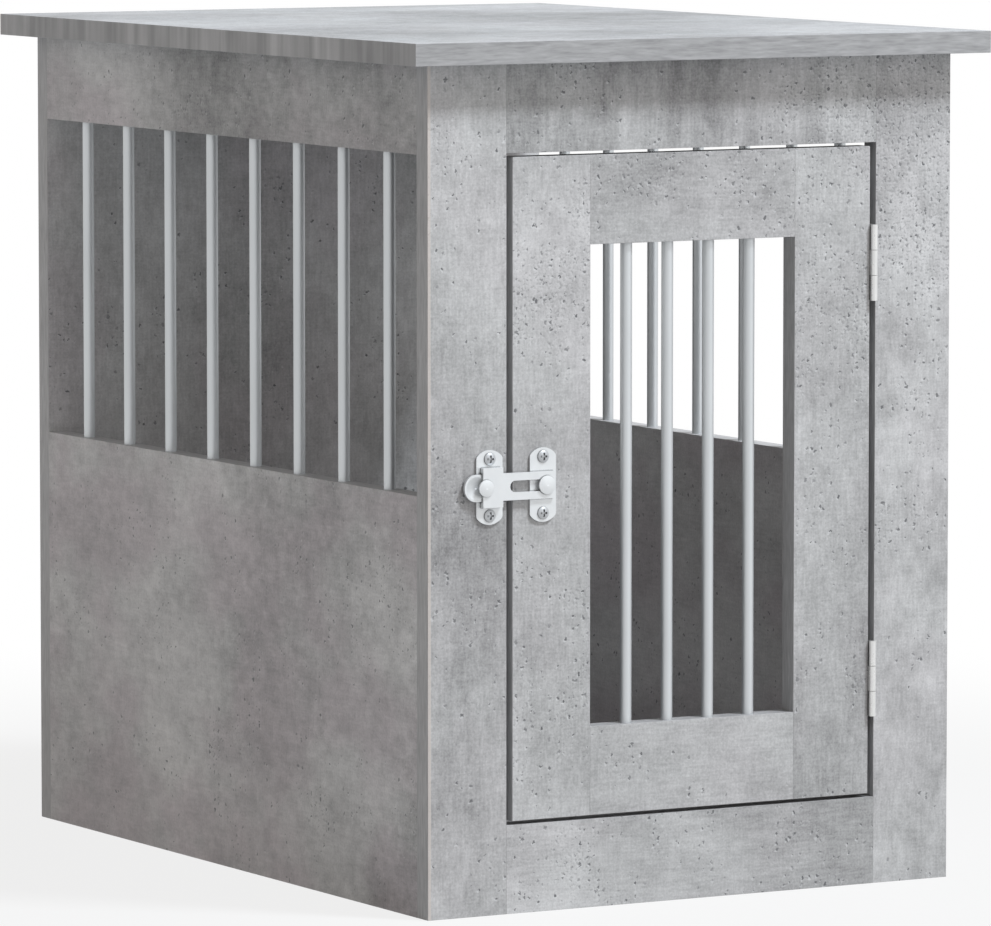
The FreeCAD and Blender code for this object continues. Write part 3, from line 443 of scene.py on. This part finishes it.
# The latch is brushed along its bar, and the hinge barrels are drawn along their pins.
satin_nickel = plated_metal("satin_nickel_plated_steel", ("#D6D9DB", "#E3E5E6"), rough=0.42, scratch=0.5,
                            stretch=(0.2, 1, 1), metallic=0.5)
bright_nickel = plated_metal("bright_nickel_plated_steel", ("#D9D9D8", "#E6E6E5"), rough=0.3, scratch=3.0,
                             stretch=(1, 1, 0.2), metallic=0.7)
zinc = plated_metal("zinc_plated_steel", ("#B2B5B8", "#C4C6C8"), rough=0.44, scratch=0.6, metallic=0.6)
cast_zinc = plated_metal("die_cast_zinc", ("#A9ABAD", "#BFC1C2"), rough=0.42, scratch=1.5)
wood = beech()
FITTINGS = {
    satin_nickel: ["latch_frame_plate", "latch_door_plate", "latch_bridge", "latch_bar", "latch_knob",
                   "latch_stud"],
    bright_nickel: [f"{end}_hinge_{part}" for end in ("lower", "upper")
                    for part in ("frame_leaf", "door_leaf", "pin")],
    zinc: ["hinge_frame_screws", "hinge_door_screws", "latch_frame_screws", "latch_door_screws",
           "cam_bolts"],
    cast_zinc: ["cam_locks"],
    wood: ["frame_dowels", "door_dowels", "carcass_dowels"],
}
for material, members in FITTINGS.items():
    for node in members:
        wear(node, material)

# Stage: white floor and surroundings, a lamp high in front on the right and a broad low fill.
AMBIENT = 0.385
FLOOR_HALF = 60.0
SHADOW_FULL = 0.5
SHADOW_GONE = 1.3
WHITENESS = 0.82
LAMPS_FACE = (0, -0.29, 0.45)
scene = bpy.context.scene
scene.view_settings.view_transform = "Standard"


def seen_directly(tree):
    """1 for rays that show the surroundings themselves: to the camera, or in a mirror or glass."""
    ray = add(tree, "LightPath", {})
    either = add(tree, "Math", {0: ray.outputs["Is Camera Ray"], 1: ray.outputs["Is Glossy Ray"]},
                 operation="MAXIMUM").outputs[0]
    return add(tree, "Math", {0: either, 1: ray.outputs["Is Transmission Ray"]},
               operation="MAXIMUM").outputs[0]


world = bpy.data.worlds.new("white_studio")
scene.world = world
world.use_nodes = True
tree = world.node_tree
tree.nodes.clear()
soft = add(tree, "Background", {"Color": linear("#FFF9F4"), "Strength": AMBIENT}).outputs[0]
white = add(tree, "Background", {"Color": linear("#FFFFFF"), "Strength": 1.0}).outputs[0]
sky = add(tree, "MixShader", {0: seen_directly(tree), 1: soft, 2: white}).outputs[0]
add(tree, "OutputWorld", {"Surface": sky})

# The floor shows the crate's shadow near it, and fades to plain white further out.
corners = [(x * FLOOR_HALF, y * FLOOR_HALF, 0) for x, y in ((-1, -1), (1, -1), (1, 1), (-1, 1))]
floor_mesh = bpy.data.meshes.new("floor")
floor_mesh.from_pydata(corners, [], [(0, 1, 2, 3)])
floor = bpy.data.objects.new("floor", floor_mesh)
scene.collection.objects.link(floor)
paint = bpy.data.materials.new("white_floor_paint")
paint.use_nodes = True
tree = paint.node_tree
tree.nodes.clear()
matt = add(tree, "BsdfDiffuse", {"Color": linear("#C4C4C4")}).outputs[0]
bright = add(tree, "Emission", {"Color": linear("#FFFFFF"), "Strength": 1.0}).outputs[0]
at = add(tree, "TexCoord", {}).outputs["Object"]
from_middle = add(tree, "VectorMath", {0: at}, operation="LENGTH").outputs["Value"]
lit = add(tree, "MapRange", {"Value": from_middle, "From Min": SHADOW_FULL, "From Max": SHADOW_GONE,
                             "To Min": WHITENESS, "To Max": 1.0},
          interpolation_type="SMOOTHSTEP").outputs[0]
share = add(tree, "Math", {0: seen_directly(tree), 1: lit}, operation="MULTIPLY").outputs[0]
ground = add(tree, "MixShader", {0: share, 1: matt, 2: bright}).outputs[0]
add(tree, "OutputMaterial", {"Surface": ground})
floor_mesh.materials.append(paint)


def lamp(name, towards, distance, size, watts, colour):
    """A round lamp that stands in a direction from the front of the crate and faces it."""
    light = bpy.data.lights.new(name, "AREA")
    light.shape = "DISK"
    light.size = size
    light.energy = watts
    light.color = linear(colour)[:3]
    holder = bpy.data.objects.new(name, light)
    scene.collection.objects.link(holder)
    towards = Vector(towards).normalized()
    holder.location = Vector(LAMPS_FACE) + towards * distance
    holder.rotation_euler = towards.to_track_quat("Z", "Y").to_euler()


lamp("key", towards=(0.8, -1.0, 1.77), distance=5.5, size=1.1, watts=304, colour="#F3F9FF")
lamp("fill", towards=(0.45, -0.85, 0.26), distance=4.5, size=3.0, watts=16, colour="#FBFDFF")

# Camera at the photograph's viewing angle: a long lens, front left, a little above. Its focal
# length was worked out from the photograph in pixels. The angles are in degrees.
PHOTO_WIDTH = 991
FOCAL_PIXELS = 7873
SENSOR_WIDTH = 36.0
CAMERA_AT = (-2.7297, -4.8279, 0.7935)
CAMERA_DOWN = 5.359
CAMERA_TURN = 29.585
camera_data = bpy.data.cameras.new("camera")
camera_data.sensor_width = SENSOR_WIDTH
camera_data.lens = SENSOR_WIDTH * FOCAL_PIXELS / PHOTO_WIDTH
camera_data.clip_end = 100.0
camera = bpy.data.objects.new("camera", camera_data)
scene.collection.objects.link(camera)
camera.location = CAMERA_AT
camera.rotation_euler = (math.radians(90 - CAMERA_DOWN), 0, -math.radians(CAMERA_TURN))
scene.camera = camera
